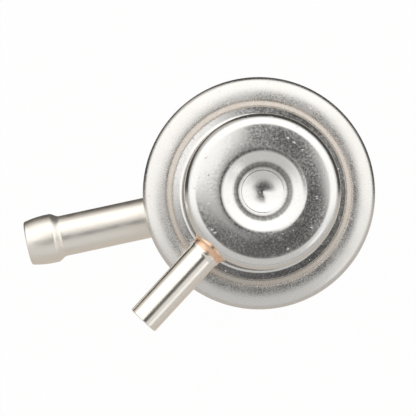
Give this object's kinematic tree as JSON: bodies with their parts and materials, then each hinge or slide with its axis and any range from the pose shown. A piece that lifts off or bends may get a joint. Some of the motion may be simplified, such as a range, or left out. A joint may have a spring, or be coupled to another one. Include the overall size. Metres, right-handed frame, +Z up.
{
  "type": "fuel pressure regulator",
  "caption": "Round crimped fuel pressure regulator: a deep-drawn cup with beaded fuel tubes under a dished spring cap with a plain vacuum tube.",
  "frame": {"origin": "on the stack's axis, in the plane of the cup's base", "axes": "+Z up the stack's axis from the base to the cap's crown; -X along the inlet tube to its mouth"},
  "size_m": [0.0687, 0.045, 0.0561],
  "materials": {
    "cap_steel": "satin zinc plate",
    "cup_steel": "satin zinc plate",
    "tube_steel": "bright nickel plate",
    "copper_braze": "brazed copper",
    "turned_steel": "turned",
    "pressed_steel": "pressed",
    "spring_steel": "phosphated",
    "turned_brass": "turned",
    "diaphragm_rubber": "cloth-backed rubber"
  },
  "bodies": {
    "housing": {"spring_cap": "cap_steel", "vacuum_tube": "tube_steel", "vacuum_tube_braze": "copper_braze", "lower_cup": "cup_steel", "inlet_tube": "tube_steel", "inlet_tube_braze": "copper_braze", "return_tube": "tube_steel", "return_tube_braze": "copper_braze", "valve_seat": "turned_steel", "diaphragm": "diaphragm_rubber", "main_spring": "spring_steel", "upper_spring_seat": "pressed_steel"},
    "valve": {"lower_spring_seat": "pressed_steel", "diaphragm_lower_plate": "pressed_steel", "valve_holder": "turned_brass", "rivet_washer": "pressed_steel", "valve_ball": "turned_steel", "valve_plate": "turned_steel", "ball_spring": "spring_steel", "ball_retainer": "pressed_steel"}
  },
  "joints": [
    {"name": "valve_lift", "type": "slide", "parent": "housing", "child": "valve", "axis": [0, 0, 1], "range_m": [0, 0.001], "stiffness_N_per_m": 500, "springref_m": -0.002, "deforming": ["main_spring", "diaphragm"]}
  ]
}
